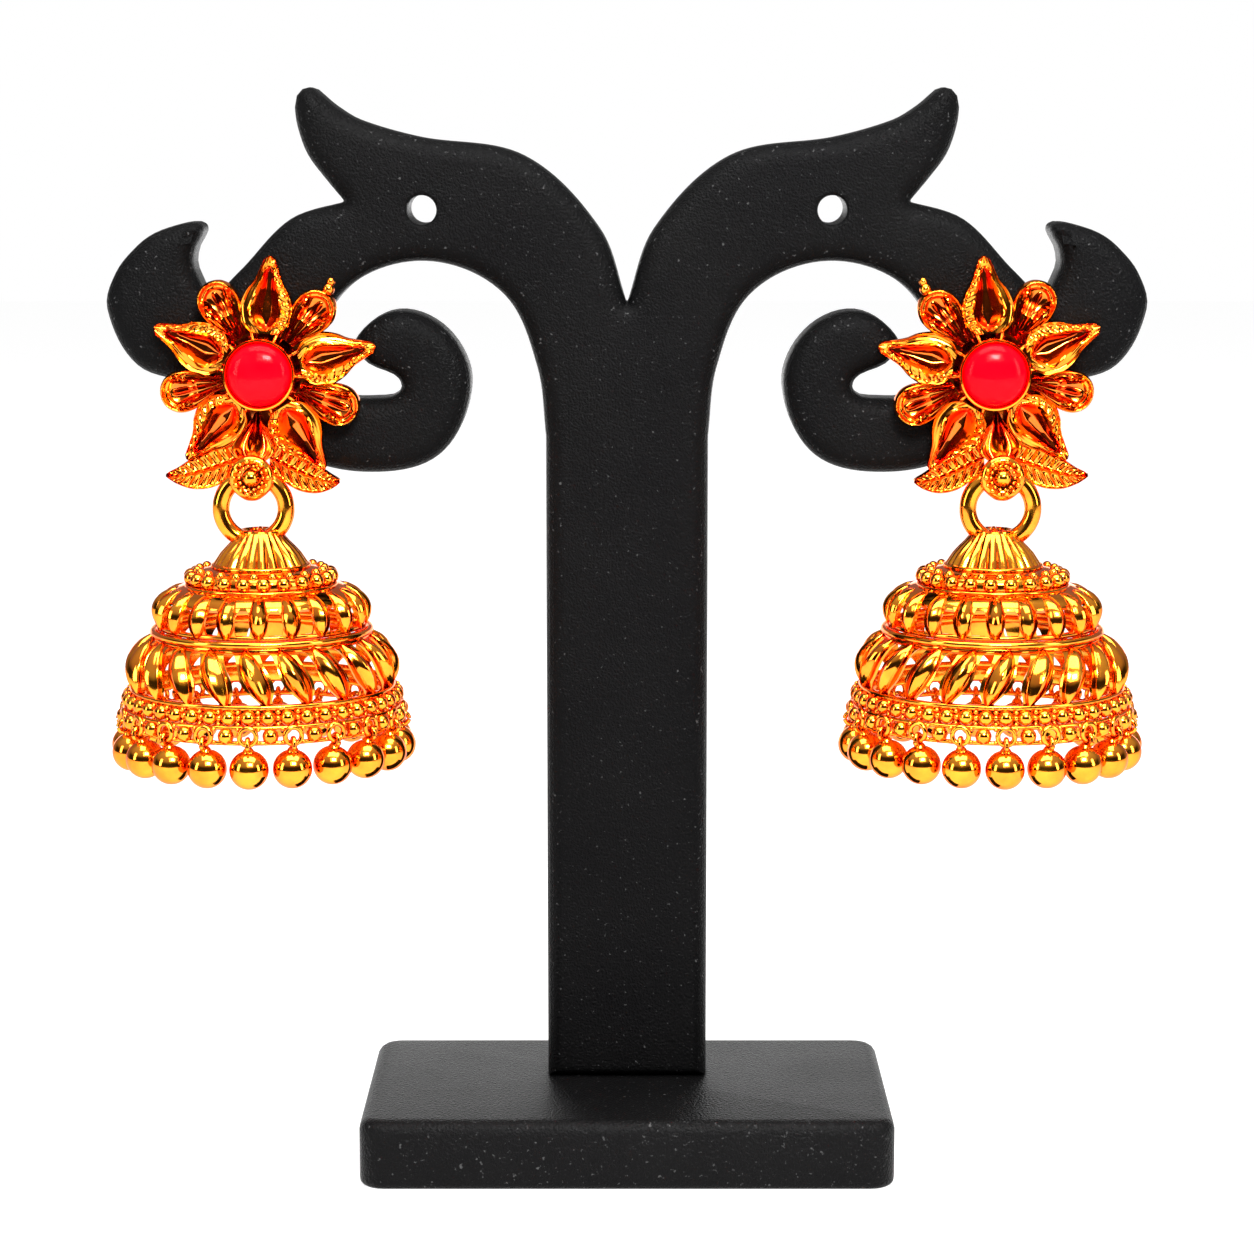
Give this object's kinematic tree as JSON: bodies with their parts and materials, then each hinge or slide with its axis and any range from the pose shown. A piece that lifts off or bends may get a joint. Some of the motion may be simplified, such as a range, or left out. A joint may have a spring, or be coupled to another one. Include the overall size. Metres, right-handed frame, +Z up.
{
  "type": "pair of jhumka earrings on a display stand",
  "caption": "Dome-shaped pierced bell earrings with flower studs, red stones and ball fringes, hung on a plain black two-armed display stand.",
  "frame": {"origin": "centre of the stand base's underside, on the surface that it stands on", "axes": "+Z up, -Y towards the viewer, +X to the viewer's right"},
  "size_m": [0.107, 0.0353, 0.111],
  "materials": {
    "stand": "black fine-grained leatherette",
    "gold": "polished gold plating",
    "stone": "glossy opaque red cabochon",
    "post": "plain plated pin and clutch"
  },
  "bodies": {
    "stand": {"stand_base": "stand", "stand_tree": "stand", "left_stud_flower": "gold", "left_stone": "stone", "left_ear_post": "post", "right_stud_flower": "gold", "right_stone": "stone", "right_ear_post": "post"},
    "left_hanging": {"left_hanger_ring": "gold", "left_bell": "gold", "left_drop_01": "gold", "left_drop_02": "gold", "left_drop_03": "gold", "left_drop_04": "gold", "left_drop_05": "gold", "left_drop_06": "gold", "left_drop_07": "gold", "left_drop_08": "gold", "left_drop_09": "gold", "left_drop_10": "gold", "left_drop_11": "gold", "left_drop_12": "gold", "left_drop_13": "gold", "left_drop_14": "gold", "left_drop_15": "gold", "left_drop_16": "gold", "left_drop_17": "gold", "left_drop_18": "gold", "left_drop_19": "gold", "left_drop_20": "gold"},
    "right_hanging": {"right_hanger_ring": "gold", "right_bell": "gold", "right_drop_01": "gold", "right_drop_02": "gold", "right_drop_03": "gold", "right_drop_04": "gold", "right_drop_05": "gold", "right_drop_06": "gold", "right_drop_07": "gold", "right_drop_08": "gold", "right_drop_09": "gold", "right_drop_10": "gold", "right_drop_11": "gold", "right_drop_12": "gold", "right_drop_13": "gold", "right_drop_14": "gold", "right_drop_15": "gold", "right_drop_16": "gold", "right_drop_17": "gold", "right_drop_18": "gold", "right_drop_19": "gold", "right_drop_20": "gold"}
  },
  "joints": [
    {"name": "left_swing", "type": "hinge", "parent": "stand", "child": "left_hanging", "pos_m": [-0.03809, -0.0042, 0.0719], "axis": [1, 0, 0], "range_deg": [-30, 30]},
    {"name": "right_swing", "type": "hinge", "parent": "stand", "child": "right_hanging", "pos_m": [0.03809, -0.0042, 0.0719], "axis": [1, 0, 0], "range_deg": [-30, 30]}
  ]
}
